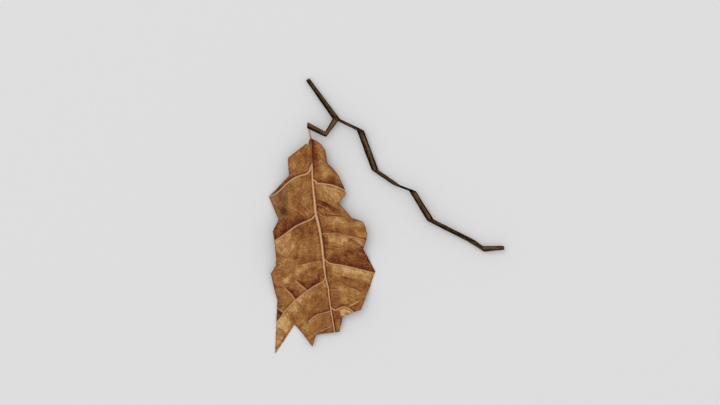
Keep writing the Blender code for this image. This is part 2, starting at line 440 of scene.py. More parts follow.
@dataclass(frozen=True)
class YoungBark(Finish):
    """Bark of a two-year-old oak twig, dried: thin, matt, dark brown, in streaks that run along the growth."""

    name: str = "dried oak twig bark"
    dark: str = "#0b0601"
    middle: str = "#302111"
    light: str = "#6b5031"
    pore: str = "#75603f"
    wear: float = 0.42

    def surface(self, add: AddNode) -> Inputs:
        """Adds the finish's nodes.

        Args:
            add: Adds a node to the material.

        Returns:
            What feeds each of the shader's inputs.
        """
        place = add("TexCoord").outputs["Object"]
        grown = add("Attribute", {"attribute_name": "grown"}).outputs["Vector"]
        pores, worn = (add("Attribute", {"attribute_name": name}).outputs["Fac"] for name in ("pore", "worn"))
        # Streaks 0.5 mm wide and 9 mm long, patches of weathering 5 mm across, and scurf of 0.3 mm over all of it
        along = add("Mapping", {}, {"Vector": grown, "Scale": (1 / 9.0, 1 / 0.5, 1 / 0.5)})
        streaks = add("TexNoise", {}, {"Vector": along, "Scale": 1.0, "Detail": 4.0, "Roughness": 0.6})
        patches = add("TexNoise", {}, {"Vector": grown, "Scale": 0.2, "Detail": 3.0})
        scurf = add("TexNoise", {}, {"Vector": place, "Scale": 3200.0, "Detail": 2.0, "Roughness": 0.6})
        # The bark's tone from the mesh: its wrinkles and streaks, with painted light that makes the twig's top
        # lighter and its underside darker
        level = add("Math", ADD, {0: worn, 1: self.wear})
        for pattern, strength in ((streaks, 1.1), (patches, 0.4), (scurf, 0.7)):
            shift = add("Math", MULTIPLY_ADD, {0: pattern, 1: strength, 2: -strength / 2})
            level = add("Math", ADD, {0: level, 1: shift})
        steps = {0.25: linear(self.dark), 0.5: linear(self.middle), 0.85: linear(self.light)}
        colour = add("ValToRGB", {"color_ramp": steps}, {0: level})
        colour = add("Mix", MIX_COLOURS, {0: pores, 6: colour, 7: linear(self.pore)}).outputs[2]
        relief = add("Math", MULTIPLY_ADD, {0: scurf, 1: 0.6, 2: streaks})
        bump = add("Bump", {}, {"Height": relief, "Strength": 0.7, "Distance": 0.3 * MM})
        return {"Base Color": colour, "Roughness": 0.8, "IOR": 1.45, "Specular IOR Level": 0.05, "Normal": bump}


@dataclass(frozen=True)
class SnappedWood(Finish):
    """Oak wood where the twig broke: pale, fibrous, greyed by the weather."""

    name: str = "snapped oak wood"
    pale: str = "#a58a62"
    dark: str = "#5d4930"

    def surface(self, add: AddNode) -> Inputs:
        """Adds the finish's nodes.

        Args:
            add: Adds a node to the material.

        Returns:
            What feeds each of the shader's inputs.
        """
        # Torn fibres, 0.3 mm across
        place = add("TexCoord").outputs["Object"]
        fibres = add("TexNoise", {}, {"Vector": place, "Scale": 3000.0, "Detail": 2.0})
        steps = {0.35: linear(self.dark), 0.6: linear(self.pale)}
        colour = add("ValToRGB", {"color_ramp": steps}, {0: fibres})
        bump = add("Bump", {}, {"Height": fibres, "Strength": 0.8, "Distance": 0.2 * MM})
        return {"Base Color": colour, "Roughness": 0.85, "Normal": bump}


@dataclass(frozen=True)
class DryStalk(Finish):
    """The leaf stalk, dried: smooth and straw-brown, darker at the foot that sat in the bark."""

    name: str = "dry leaf stalk"
    pale: str = "#c09868"
    dark: str = "#7d5431"

    def surface(self, add: AddNode) -> Inputs:
        """Adds the finish's nodes.

        Args:
            add: Adds a node to the material.

        Returns:
            What feeds each of the shader's inputs.
        """
        grown = add("Attribute", {"attribute_name": "grown"}).outputs["Vector"]
        foot = add("Attribute", {"attribute_name": "worn"}).outputs["Fac"]
        # Furrows 0.3 mm wide that run along it
        along = add("Mapping", {}, {"Vector": grown, "Scale": (1 / 5.0, 1 / 0.3, 1 / 0.3)})
        furrows = add("TexNoise", {}, {"Vector": along, "Scale": 1.0, "Detail": 2.0})
        level = add("Math", ADD, {0: furrows, 1: foot})
        steps = {0.3: linear(self.pale), 0.95: linear(self.dark)}
        colour = add("ValToRGB", {"color_ramp": steps}, {0: level})
        bump = add("Bump", {}, {"Height": furrows, "Strength": 0.5, "Distance": 0.2 * MM})
        return {"Base Color": colour, "Roughness": 0.6, "IOR": 1.45, "Normal": bump}


@dataclass(frozen=True)
class MattPaint(Finish):
    """Matt paint on the table's top, even and pale."""

    name: str = "matt pale paint"
    colour: str = "#d6d6d6"

    def surface(self, add: AddNode) -> Inputs:
        """Returns what feeds each of the shader's inputs; it needs no nodes."""
        return {"Base Color": linear(self.colour), "Roughness": 0.95, "Specular IOR Level": 0.1}


# The leaf


@dataclass(frozen=True)
class Vein:
    """A side vein, and the painted shade and light on the blade on its two sides.

    Attributes:
        line: Its points from the midrib outwards.
        width: Its width at the midrib and at its end.
        above: The tone and the reach of the band of painted shade on its side towards the base, at its end.
        below: The same for the band on its side towards the tip, which is mostly painted light.
        start: How much of both bands is there at the midrib already.
        pale: How pale it is against the blade.
    """

    line: Line
    width: Point = (0.9, 0.5)
    above: Point = (0.0, 3.0)
    below: Point = (0.0, 4.0)
    start: float = 0.4
    pale: float = 0.8


@dataclass(frozen=True)
class Patch:
    """A field of the blade that browned more or less than the rest, as its small veins shut it off; the dark ones
    over the fourth vein are painted shade beside its folds.

    Attributes:
        corners: Its outline, in order.
        tone: How much lighter it is.
        soft: How wide its edge is.
        olive: How much of the leaf's green is left in it.
    """

    corners: Line
    tone: float
    soft: float = 1.2
    olive: float = 0.0

    def cover(self, places: np.ndarray) -> np.ndarray:
        """Works out how much of each place the patch covers.

        Args:
            places: The flat places, in millimetres.

        Returns:
            Their shares, from 0 to 1.
        """
        ring = np.array((*self.corners, self.corners[0]))
        away = reach(ring, places)[0]
        inside = np.zeros(len(places), bool)
        for (x0, y0), (x1, y1) in zip(ring, ring[1:]):
            crosses = (y0 > places[:, 1]) != (y1 > places[:, 1])
            inside ^= crosses & (places[:, 0] < x0 + (x1 - x0) * (places[:, 1] - y0) / (y1 - y0 + TINY))
        share = np.clip(0.5 + np.where(inside, away, -away) / (2 * self.soft), 0.0, 1.0)
        return share * share * (3 - 2 * share)


@dataclass(frozen=True)
class Crease:
    """A fold of the dry blade: a fine ridge with a step down on one side of it, with painted shadow under the step
    and a painted highlight along the ridge.

    Attributes:
        line: Its points; the step down is on the right of them.
        step: The height of the step.
        shadow: The tone of the band under the step.
        reach: How far that band goes.
        pale: How pale its ridge is, as a painted highlight.
    """

    line: Line
    step: float = 0.3
    shadow: float = -0.3
    reach: float = 1.8
    pale: float = 0.4


class Skin:
    """The side of the blade that faces up, worked out place by place.

    Attributes:
        flat: The places, in millimetres.
        tone: How light each one has browned, with painted shade and light beside the veins and folds.
        olive: How much green is left in it.
        pale: How much of a vein's own colour it shows, which along the folds' ridges is a painted highlight.
        ridge: How far a vein stands out of it.
        fold: How far the folds lift it.
        nearest: How far off the nearest strong vein is.
    """

    def __init__(self, flat: np.ndarray, tone: float) -> None:
        """Starts with an even blade that has no veins.

        Args:
            flat: The places, one row of two each.
            tone: The blade's own tone.
        """
        self.flat = flat
        self.tone = np.full(len(flat), tone)
        self.olive, self.pale, self.ridge, self.fold = np.zeros((4, len(flat)))
        self.nearest = np.full(len(flat), np.inf)


@dataclass(frozen=True)
class Curl:
    """How the blade lies: its midrib arches over the table, and both its halves fall away from it.

    The fall is mostly over at side_reach from the midrib, and fall_lost is the share of it that is gone at the
    tip. Each of the lifts is a place where the dry blade has risen or sunk, with its radius and its height.
    """

    length: float = 128.0
    base: float = 5.0
    arch: float = 8.0
    tip_fall: float = 3.0
    side_fall: float = 8.5
    side_reach: float = 26.0
    fall_lost: float = 0.6
    lifts: tuple[tuple[Point, float, float], ...] = (
        ((-30.0, -39.0), 15.0, -5.5), ((43.0, -88.0), 14.0, -5.5), ((-24.0, -143.0), 14.0, -1.5),
        ((-27.0, -72.0), 15.0, 2.0), ((34.0, -114.0), 15.0, 3.0), ((1.0, -138.0), 12.0, 2.5),
        ((37.0, -62.0), 13.0, 1.5), ((24.0, -36.0), 12.0, -3.0), ((-14.0, -14.0), 10.0, 1.0),
    )
    soft: float = 1.0

    def height(self, x: np.ndarray, y: np.ndarray, aside: np.ndarray) -> np.ndarray:
        """Returns how high the middle of the blade lies over the table, as the part has it.

        Args:
            x: Places across the blade.
            y: Places along the blade.
            aside: How far they are to the right of the midrib.

        Returns:
            The heights.
        """
        along = np.clip(-y / self.length, 0.0, 1.0)
        arch = self.base + self.arch * np.sin(np.pi * along**0.9) - self.tip_fall * along
        height = arch - self.side_fall * (1 - self.fall_lost * along**2) * (1 - bell(aside, self.side_reach))
        for (lift_x, lift_y), radius, lift in self.lifts:
            height += lift * np.exp(-((x - lift_x) ** 2 + (y - lift_y) ** 2) / radius**2)
        return 0.5 * (height + np.hypot(height, self.soft))


@dataclass
class Blade:
    """The leaf's blade: its margin, its curl, its veins, its browning and its painted shade and light.

    It is cut into squares of one cell, each divided by a number of cuts, and once more when it is nearer than
    fine to a vein or a fold. A ridge's fall from its middle, its rise and where its foot is are all shares of
    the vein's width. The blade's upward side lies one lift over the part's middle, sinks between its veins, and
    comes no nearer to the table than lowest. The margin runs from the left of the stalk round to the right, and
    the midrib from the stalk to the tip, with its widths at shares of its way. The slopes are those of the side
    veins on each half: where on the midrib, and how steep.
    """

    thickness: float = 0.40
    cell: float = 3.7
    cuts: int = 5
    fine: float = 0.75
    tear: float = 0.16
    own_tone: float = 0.57
    form: float = 0.55
    side_rise: float = 0.42
    midrib_rise: float = 0.5
    foot: float = 0.85
    lift: float = 0.5
    sink: float = 1.1
    lowest: float = 0.25
    curl: Curl = Curl()
    margin: Line = (
        (-0.5, 0.4), (0.5, -0.2), (4.8, -2.6), (7.3, -5.0), (9.2, -8.1), (10.2, -12.5), (10.6, -16.3),
        (14.9, -20.4), (18.3, -25.1), (21.2, -31.6), (23.2, -36.6), (20.6, -39.8), (18.3, -43.1), (22.9, -48.1),
        (26.9, -52.7), (34.1, -55.0), (36.0, -59.0), (37.1, -63.8), (35.9, -68.8), (34.3, -73.0), (38.0, -79.8),
        (42.2, -88.0), (41.6, -89.3), (38.6, -98.3), (32.7, -113.3), (28.0, -114.8), (21.0, -117.4),
        (19.9, -122.4), (18.5, -127.8), (15.5, -128.1), (3.2, -129.6), (2.2, -133.4), (0.8, -137.6),
        (-5.5, -129.3), (-11.1, -122.8), (-18.1, -133.7), (-23.8, -142.0), (-23.5, -132.3), (-23.0, -121.5),
        (-22.5, -112.3), (-22.4, -106.8), (-24.2, -100.4), (-26.7, -89.4), (-23.2, -83.7), (-23.2, -78.5),
        (-24.2, -68.8), (-25.3, -61.3), (-21.5, -53.8), (-24.8, -46.0), (-28.0, -38.6), (-23.0, -33.7),
        (-19.2, -29.6), (-14.5, -24.4), (-15.2, -19.0), (-15.4, -13.5), (-14.4, -12.2), (-7.9, -7.2),
        (-3.6, -3.9), (-2.0, -4.4), (-1.5, -2.1),
    )
    midrib: Line = (
        (-0.3, 0.3), (0.3, -4.6), (0.6, -18.5), (0.9, -28.1), (2.0, -39.0), (3.1, -50.0), (5.1, -58.1),
        (6.7, -67.4), (8.0, -78.9), (8.6, -85.4), (9.6, -92.5), (11.3, -99.1), (11.8, -104.5), (13.2, -114.4),
        (14.3, -121.0), (15.4, -128.0),
    )
    midrib_widths: Line = ((0.0, 0.8), (0.12, 0.75), (0.25, 1.1), (0.4, 1.45), (0.6, 1.25), (0.72, 0.85), (1.0, 0.6))
    slopes: tuple[tuple[Row, Row], ...] = (
        ((20, 52, 81, 93, 115, 124), (0.75, 0.62, 0.3, 0.9, 0.55, 0.7)),
        ((28, 48, 63, 79, 100, 112), (0.36, 0.3, 0.14, 0.3, 0.1, 0.18)),
    )
    veins: tuple[Vein, ...] = (
        Vein(((0.5, -17.5), (-0.5, -20.1), (-1.5, -22.3), (-3.5, -23.8), (-7.1, -24.8), (-10.4, -26.1),
              (-13.4, -27.9), (-16.4, -30.4), (-19.5, -33.5), (-24.2, -37.2), (-27.8, -38.5)), (1.0, 0.6),
              above=(-0.24, 2.2), below=(0.05, 3.0), start=0.6, pale=0.95),
        Vein(((3.3, -50.4), (2.5, -51.0), (0.5, -53.1), (-2.8, -54.7), (-6.5, -56.3), (-10.4, -58.3), (-13.4, -60.4),
              (-17.2, -63.3), (-20.5, -65.6), (-24.0, -67.6)), (0.8, 0.55), above=(-0.22, 2.6), below=(0.05, 2.0),
              start=0.8, pale=0.9),
        Vein(((8.2, -80.9), (4.3, -81.2), (-0.3, -82.2), (-4.0, -83.0), (-9.8, -84.3)), (0.55, 0.5),
              above=(-0.1, 1.6), below=(0.08, 2.0), start=1.0, pale=0.35),
        Vein(((9.6, -91.8), (8.5, -93.6), (7.1, -95.2), (5.2, -95.9), (1.0, -98.3), (-2.9, -101.0), (-8.0, -104.9),
              (-12.5, -109.0), (-15.8, -112.6), (-18.1, -115.4), (-21.4, -119.9), (-22.8, -121.2)), (0.7, 0.6),
              above=(-0.16, 1.6), below=(0.3, 5.6), start=0.25, pale=0.75),
        Vein(((13.2, -114.0), (9.0, -115.1), (5.8, -116.0), (2.6, -117.1), (-0.1, -119.3), (-1.8, -121.0)),
              (0.6, 0.5), above=(-0.22, 1.8), below=(0.1, 3.0), start=1.0, pale=0.6),
        Vein(((14.4, -121.2), (13.2, -123.7), (11.4, -125.1), (7.3, -126.9), (4.4, -128.4), (2.2, -129.8),
              (0.2, -131.9)), (0.6, 0.5), above=(0.0, 2.0), below=(-0.15, 1.5), start=0.7, pale=0.5),
        Vein(((0.9, -27.3), (2.4, -28.1), (4.2, -29.8), (8.0, -30.2), (12.4, -30.8), (15.6, -31.6), (18.6, -32.8),
              (21.5, -34.3), (23.2, -36.3)), (0.85, 0.6), above=(-0.22, 2.2), below=(0.14, 4.0), start=0.6,
              pale=0.95),
        Vein(((3.2, -48.0), (5.3, -49.7), (8.0, -51.7), (11.0, -52.1), (14.5, -51.9), (18.6, -52.2)), (0.6, 0.5),
              above=(-0.16, 1.6), below=(0.06, 3.0), start=0.8, pale=0.5),
        Vein(((5.9, -63.2), (7.1, -63.1), (11.0, -62.8), (15.4, -62.7), (18.3, -63.1), (21.3, -64.2), (27.5, -65.0),
              (31.0, -66.2), (35.1, -67.1)), (0.55, 0.5), above=(-0.16, 1.2), below=(0.05, 3.0), start=1.0, pale=0.5),
        Vein(((7.9, -77.8), (8.2, -79.3), (10.0, -81.0), (12.1, -82.5), (14.5, -83.0), (22.7, -84.4), (31.5, -86.5),
              (41.2, -89.0)), (0.8, 0.5), above=(-0.2, 3.0), below=(0.12, 3.0), start=0.6, pale=0.85),
        Vein(((11.4, -100.1), (12.4, -100.2), (16.8, -100.1), (21.3, -99.9), (24.2, -98.7), (27.1, -99.3),
              (30.1, -100.8), (32.1, -102.0)), (0.55, 0.5), above=(-0.06, 1.5), below=(0.06, 3.0), start=1.0,
              pale=0.5),
        Vein(((12.9, -111.5), (13.3, -112.0), (14.8, -113.2), (16.8, -113.1), (19.2, -111.9), (21.5, -111.4),
              (24.2, -112.0), (26.3, -113.5), (27.7, -114.6)), (0.75, 0.55), above=(-0.16, 1.5), below=(0.0, 3.0),
              start=0.8, pale=0.9),
    )
    creases: tuple[Crease, ...] = (
        Crease(((-3.0, -99.9), (-6.5, -97.2), (-9.6, -94.4)), 0.4, pale=0.6),
        Crease(((-10.7, -106.0), (-13.5, -102.4), (-16.7, -99.4)), 0.4, pale=0.6),
        Crease(((-22.2, -112.6), (-18.6, -115.4)), shadow=-0.2),
        Crease(((-13.1, -61.0), (-10.8, -66.2), (-9.2, -67.6), (0.9, -66.3)), 0.2, -0.22, 1.0, 0.1),
        Crease(((26.0, -110.7), (30.8, -108.4)), 0.25, -0.2, 1.5, 0.8),
        Crease(((20.2, -109.4), (24.0, -109.3), (27.2, -111.8)), 0.2, -0.3, 1.0, 0.1),
        Crease(((-23.0, -73.4), (-20.0, -76.6), (-16.1, -78.5)), 0.15, -0.25, 0.5, 0.3),
        Crease(((-24.4, -38.8), (-21.1, -43.2)), 0.15, -0.3, 0.7, 0.1),
        Crease(((-9.0, -107.4), (-6.2, -110.0)), 0.2, -0.35, 0.6, 0.2),
        Crease(((-22.9, -124.8), (-19.5, -126.2), (-16.6, -129.2)), 0.2, -0.4, 0.6, 0.2),
        Crease(((-23.2, -132.5), (-20.5, -132.6), (-18.4, -133.3)), 0.2, -0.4, 0.6, 0.2),
        Crease(((-8.0, -124.8), (-5.4, -121.4)), 0.15, -0.45, 0.5, 0.1),
        Crease(((-0.4, -132.6), (2.6, -129.6), (5.8, -127.2)), 0.15, -0.45, 0.6, 0.1),
        Crease(((8.6, -34.2), (12.0, -37.4), (15.4, -41.0)), 0.2, -0.3, 0.7, 0.3),
        Crease(((16.4, -34.0), (20.6, -38.0)), 0.15, -0.14, 0.7, 0.2),
        Crease(((6.4, -41.0), (11.5, -43.2), (16.8, -46.6)), 0.3, -0.26, 1.4, 0.12),
        Crease(((4.4, -44.4), (8.5, -45.8), (12.6, -48.6)), 0.25, -0.24, 1.0, 0.25),
        Crease(((10.4, -49.4), (14.0, -50.4), (18.4, -50.8)), 0.2, -0.24, 0.8, 0.15),
        Crease(((-13.5, -46.4), (-8.4, -48.8), (-4.6, -51.6)), 0.15, -0.2, 0.8, 0.2),
        Crease(((-9.4, -41.4), (-5.0, -44.6), (-1.6, -48.4)), 0.15, -0.16, 0.8, 0.2),
        Crease(((-19.6, -67.4), (-15.8, -71.0)), 0.12, -0.16, 0.6, 0.2),
        Crease(((-22.0, -69.8), (-18.6, -73.6)), 0.12, -0.16, 0.6, 0.2),
        Crease(((25.0, -65.6), (29.4, -68.0), (34.2, -71.4)), 0.25, -0.3, 1.1, 0.3),
        Crease(((26.6, -67.4), (23.6, -70.6), (18.0, -72.4), (12.4, -71.0)), 0.2, -0.14, 1.0, 0.1),
        Crease(((21.5, -91.2), (27.8, -93.4), (33.6, -96.0)), 0.2, -0.16, 0.9, 0.1),
        Crease(((14.4, -86.4), (15.6, -90.4), (21.0, -91.0)), 0.15, -0.14, 0.7, 0.1),
        Crease(((-21.0, -86.4), (-15.6, -87.6), (-10.8, -85.6)), 0.12, -0.12, 0.8, 0.2),
        Crease(((-23.4, -97.4), (-17.4, -98.4), (-14.6, -100.2)), 0.15, -0.22, 0.7, 0.1),
    )
    patches: tuple[Patch, ...] = (
        # Between the base and the first side veins
        Patch(((0.2, -1.5), (3.4, -2.6), (4.2, -8.0), (4.2, -22.0), (1.0, -26.0)), -0.18, 1.2),
        Patch(((-4.9, -5.5), (-1.3, -5.5), (-1.2, -16.5), (-4.6, -15.0)), -0.08, 0.8),
        Patch(((-14.3, -13.0), (-8.5, -9.5), (-6.0, -16.0), (-6.5, -22.0), (-13.5, -22.5)), 0.06, 1.4),
        Patch(((5.5, -14.0), (10.5, -16.0), (13.5, -24.0), (7.0, -27.0)), 0.17, 1.4, 0.1),
        Patch(((12.0, -24.8), (18.6, -26.5), (22.8, -35.0), (15.6, -31.2), (8.6, -29.6)), -0.20, 1.4),
        Patch(((-16.4, -29.6), (-14.2, -25.0), (-9.0, -24.4), (-3.5, -22.4), (-1.6, -21.0),
               (-10.4, -26.0)), -0.16, 0.7),
        # Between the first side veins and the second
        Patch(((-28.5, -38.4), (-24.5, -36.8), (-19.5, -33.4), (-15.6, -30.2), (-15.5, -52.0), (-21.3, -54.5),
               (-26.0, -46.0)), -0.14, 0.5, 0.6),
        Patch(((-26.8, -39.5), (-22.5, -38.8), (-20.9, -43.5), (-23.4, -45.8)), 0.16, 0.6),
        Patch(((-20.8, -46.9), (-17.6, -46.2), (-15.4, -47.8), (-16.6, -50.4), (-19.8, -50.6)), -0.55, 1.7, -0.15),
        Patch(((-13.0, -37.0), (-2.0, -36.0), (1.2, -40.0), (1.8, -47.0), (-6.0, -49.0), (-13.0, -46.0)), -0.08, 2.0),
        Patch(((-7.0, -38.0), (-1.6, -37.0), (1.0, -40.0), (1.4, -46.0), (-5.0, -45.0)), 0.09, 1.6),
        Patch(((-11.5, -32.0), (-3.5, -31.0), (-3.0, -36.5), (-11.0, -37.5)), 0.06, 1.6),
        Patch(((-25.6, -53.8), (-14.0, -53.2), (-8.0, -52.5), (-3.0, -51.2), (1.8, -50.0), (-2.8, -54.5),
               (-10.4, -58.1), (-17.2, -63.1), (-24.4, -67.6), (-26.4, -61.3)), -0.22, 1.6),
        Patch(((6.5, -31.5), (15.6, -32.6), (23.4, -36.6), (20.5, -39.8), (17.0, -43.2), (12.0, -39.8)), 0.18, 1.0),
        Patch(((5.0, -34.0), (8.0, -35.2), (16.2, -42.8), (14.4, -44.6), (5.0, -39.4)), 0.10, 0.6),
        Patch(((4.4, -40.6), (9.0, -42.2), (15.5, -45.0), (19.6, -47.6), (18.2, -50.6), (12.0, -48.0),
               (4.0, -46.0)), -0.22, 0.9),
        Patch(((7.2, -45.0), (11.6, -46.4), (11.2, -48.0), (7.2, -47.2)), 0.24, 0.6),
        Patch(((18.3, -42.6), (22.9, -48.0), (28.4, -53.2), (24.4, -54.4), (18.6, -48.6)), 0.04, 0.9, 0.25),
        # Between the second and the third
        Patch(((-12.5, -60.4), (-2.0, -55.2), (2.8, -52.8), (4.2, -56.0), (1.0, -66.4), (-9.5, -67.6)), -0.15, 0.6),
        Patch(((-25.0, -68.0), (-17.2, -63.6), (-13.2, -60.9), (-9.8, -67.2), (-11.0, -72.0), (-15.0, -76.5),
               (-20.0, -76.8), (-24.4, -73.5)), 0.17, 1.2),
        Patch(((-13.0, -70.4), (-8.8, -71.2), (-9.0, -76.0), (-13.0, -77.0)), 0.08, 0.8),
        Patch(((-6.0, -68.6), (4.6, -69.0), (5.8, -76.4), (-2.0, -77.0), (-7.0, -73.0)), 0.01, 1.0),
        Patch(((8.0, -52.6), (17.0, -52.6), (24.0, -54.6), (36.5, -56.0), (37.5, -66.0), (31.0, -65.0), (27.0, -59.6),
               (8.0, -57.0)), 0.14, 1.6),
        Patch(((16.5, -52.4), (21.6, -52.6), (23.4, -55.6), (18.4, -56.6)), 0.15, 0.8, 0.2),
        Patch(((6.5, -58.8), (26.0, -60.6), (28.0, -63.4), (15.0, -62.2), (6.5, -62.6)), -0.12, 1.2),
        Patch(((11.8, -64.0), (18.5, -64.0), (22.6, -65.4), (23.6, -68.6), (19.0, -71.6), (11.8, -71.0)), 0.19, 1.1),
        Patch(((7.0, -64.0), (10.6, -64.0), (11.4, -72.0), (9.6, -78.4), (8.2, -78.4)), -0.16, 0.9),
        Patch(((29.0, -66.4), (35.4, -67.8), (34.6, -70.4), (31.0, -69.0)), 0.14, 0.7),
        # Between the third and the fourth
        Patch(((10.0, -80.0), (16.0, -76.6), (24.0, -73.8), (33.0, -71.6), (35.4, -73.0), (43.0, -88.6),
               (31.5, -86.1), (14.5, -82.6)), -0.24, 1.5),
        Patch(((30.5, -80.5), (38.0, -79.6), (42.6, -88.4), (31.5, -86.0)), 0.07, 1.4),
        Patch(((31.4, -75.4), (34.8, -76.2), (35.2, -79.4), (32.2, -78.6)), 0.14, 0.9),
        Patch(((-22.6, -79.2), (-16.0, -78.9), (-12.6, -79.6), (-11.8, -84.2), (-21.5, -85.6)), 0.12, 1.0),
        Patch(((-11.2, -78.4), (-4.0, -77.4), (4.5, -79.2), (7.4, -81.0), (-1.0, -82.2), (-9.5, -83.6)), -0.14, 0.6),
        Patch(((-4.5, -83.4), (-2.2, -85.4), (-10.5, -91.2), (-16.5, -95.4), (-18.6, -93.2),
               (-10.8, -88.0)), 0.31, 1.1),
        Patch(((-1.6, -86.2), (2.5, -85.5), (8.4, -86.5), (9.0, -91.5), (3.0, -93.2), (-5.0, -93.6),
               (-9.6, -92.2)), -0.09, 1.0),
        Patch(((-2.4, -88.4), (4.5, -88.8), (3.6, -91.2), (-1.6, -91.2)), 0.12, 0.9),
        Patch(((-20.4, -89.2), (-15.4, -89.0), (-14.2, -92.0), (-19.8, -93.0)), -0.16, 1.1),
        Patch(((-25.5, -93.6), (-13.4, -93.8), (-12.0, -95.8), (-24.5, -96.4)), 0.14, 0.9),
        # The two dark corners over the fourth vein, painted shade beside the folds there
        Patch(((-8.0, -95.2), (-2.0, -93.8), (5.8, -92.6), (5.6, -95.4), (1.0, -98.0), (-2.9, -100.6)), -0.25, 0.9),
        Patch(((-0.5, -94.6), (5.2, -93.2), (4.6, -95.8), (1.0, -97.6)), -0.14, 0.8),
        Patch(((-15.6, -98.8), (-9.0, -100.2), (-5.6, -102.4), (-10.6, -106.2)), -0.24, 0.8),
        Patch(((-23.0, -112.8), (-18.6, -115.4), (-23.4, -122.0)), -0.20, 0.7),
        # Beyond the fourth
        Patch(((15.3, -83.2), (42.5, -89.0), (38.8, -96.4), (35.0, -94.2), (27.5, -92.6), (22.5, -90.6),
               (18.0, -91.7), (14.2, -90.5), (13.0, -87.0)), 0.22, 0.9),
        Patch(((20.0, -84.8), (33.0, -88.0), (30.0, -91.6), (22.0, -88.6)), 0.08, 1.0),
        Patch(((12.0, -92.6), (18.0, -92.6), (22.5, -91.6), (27.5, -93.6), (33.6, -96.2), (34.5, -98.6),
               (32.4, -101.0), (27.0, -98.2), (21.0, -98.0), (12.5, -98.2)), -0.02, 0.9),
        Patch(((9.4, -84.0), (13.4, -84.4), (14.0, -96.0), (11.4, -96.6)), -0.15, 1.0),
        Patch(((15.5, -97.6), (22.0, -97.4), (31.6, -101.2), (31.6, -103.2), (24.2, -100.4),
               (16.0, -99.4)), 0.14, 0.7),
        Patch(((13.6, -102.0), (24.0, -102.0), (33.0, -104.6), (28.0, -107.4), (15.0, -105.4)), 0.06, 1.4),
        Patch(((18.4, -112.9), (23.0, -112.6), (27.6, -115.2), (20.6, -117.8), (19.4, -116.0)), 0.36, 0.7),
        Patch(((14.2, -113.8), (18.6, -114.2), (20.8, -118.0), (18.6, -128.4), (15.8, -128.4)), -0.10, 0.8),
        Patch(((17.4, -120.0), (19.2, -120.0), (18.4, -126.4), (17.2, -126.4)), 0.14, 0.6),
        Patch(((-7.6, -109.8), (-3.0, -107.2), (3.0, -108.0), (3.5, -116.2), (-4.0, -118.4)), -0.04, 1.6),
        Patch(((0.5, -118.2), (12.5, -117.2), (13.3, -122.2), (4.0, -124.2)), 0.06, 1.2, 0.1),
        Patch(((5.4, -128.4), (13.8, -124.6), (15.4, -128.6), (4.0, -130.4)), -0.10, 0.5, 0.3),
        Patch(((-23.8, -121.0), (-17.6, -117.0), (-12.6, -121.6), (-19.0, -132.0), (-24.0, -143.0)), 0.20, 1.2),
        Patch(((-10.0, -121.6), (-3.0, -119.5), (1.5, -121.0), (3.0, -127.0), (1.0, -134.0),
               (-5.5, -128.8)), 0.11, 1.2),
    )

    def __post_init__(self) -> None:
        """Keeps the smooth lines, which many steps use."""
        self.spine = smooth_line(np.array(self.midrib))
        self.vein_lines = [smooth_line(np.array(vein.line)) for vein in self.veins]

    def build(self) -> bpy.types.Object:
        """Builds the blade.

        Returns:
            The finished blade.
        """
        blade = self.cut_sheet()
        self.refine(blade)
        self.tear_edge(blade)
        solid = blade.modifiers.new("thickness", "SOLIDIFY")
        solid.thickness = self.thickness * MM
        solid.offset = -1.0
        apply_modifiers(blade)
        self.shape(blade)
        dress(blade, 60, DryLeaf())
        return blade

    def cut_sheet(self) -> bpy.types.Object:
        """Cuts the flat blade to its margin and divides it into small squares.

        Returns:
            The flat blade.
        """
        bpy.ops.object.select_all(action="DESELECT")
        bpy.ops.mesh.primitive_circle_add(vertices=len(self.margin), radius=0.05, fill_type="NGON")
        blade = bpy.context.object
        blade.name = "leaf_blade"
        corners = np.array([(x, y, 0.0) for x, y in self.margin]) * MM
        move_vertices(blade, corners)
        low, high = corners.min(axis=0), corners.max(axis=0)
        with edit_mode():
            if blade.data.polygons[0].normal.z < 0:
                bpy.ops.mesh.flip_normals()
            for axis, way in ((0, (1, 0, 0)), (1, (0, 1, 0))):
                for place in np.arange(low[axis] + 0.4 * self.cell * MM, high[axis], self.cell * MM):
                    bpy.ops.mesh.select_all(action="SELECT")
                    bpy.ops.mesh.bisect(plane_co=tuple(place * np.array(way)), plane_no=way)
        self.pick_faces(blade, np.array([len(face.vertices) != 4 for face in blade.data.polygons]))
        with edit_mode(everything=False):
            bpy.ops.mesh.quads_convert_to_tris()
            bpy.ops.mesh.select_all(action="SELECT")
            bpy.ops.mesh.subdivide(number_cuts=self.cuts)
        return blade

    def pick_faces(self, blade: bpy.types.Object, picked: np.ndarray) -> None:
        """Selects some of the faces and nothing else.

        Args:
            blade: The mesh object, in object mode.
            picked: Whether each face is picked.
        """
        bpy.context.tool_settings.mesh_select_mode = (False, False, True)
        for parts in (blade.data.vertices, blade.data.edges):
            parts.foreach_set("select", np.zeros(len(parts), bool))
        blade.data.polygons.foreach_set("select", picked)

    def refine(self, blade: bpy.types.Object) -> None:
        """Divides the squares along the veins and folds once more, so that their ridges come out round.

        Args:
            blade: The flat blade.
        """
        middles = np.empty(len(blade.data.polygons) * 3, np.float32)
        blade.data.polygons.foreach_get("center", middles)
        middles = middles.reshape(-1, 3)[:, :2].astype(float) / MM
        folds = [np.array(crease.line) for crease in self.creases]
        near = np.min([reach(line, middles)[0] for line in (self.spine, *self.vein_lines, *folds)], axis=0)
        self.pick_faces(blade, near < self.fine)
        with edit_mode(everything=False):
            bpy.ops.mesh.subdivide(number_cuts=2)

